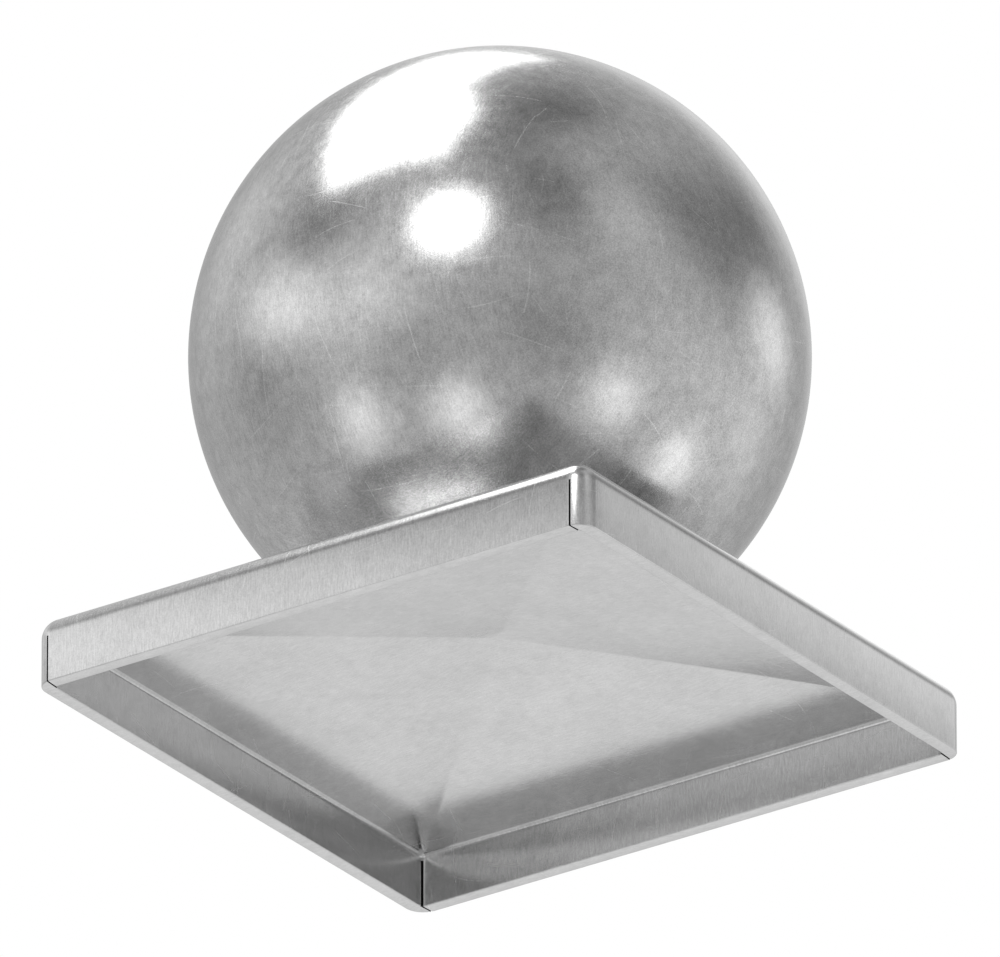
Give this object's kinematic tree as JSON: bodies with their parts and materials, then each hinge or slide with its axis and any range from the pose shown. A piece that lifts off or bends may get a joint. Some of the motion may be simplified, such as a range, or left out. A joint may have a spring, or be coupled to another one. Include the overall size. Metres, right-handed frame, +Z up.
{
  "type": "ball post cap",
  "caption": "Square post cap of folded galvanised sheet, with a low pyramid roof, short skirts and a large ball on its peak.",
  "frame": {"origin": "centre of the square, on the plane of the skirts' lower rim", "axes": "+Z up through the roof's peak and the ball's centre; X and Y square to the skirts, with the slits' open ends in the two skirts across Y"},
  "size_m": [0.0748, 0.0748, 0.08],
  "materials": {
    "galvanised_sheet": "galvanised sheet steel, satin, with fine scratches",
    "galvanised_ball": "galvanised steel, smooth, with soft mottling"
  },
  "bodies": {
    "root": {"cap": "galvanised_sheet", "ball": "galvanised_ball"}
  },
  "joints": []
}
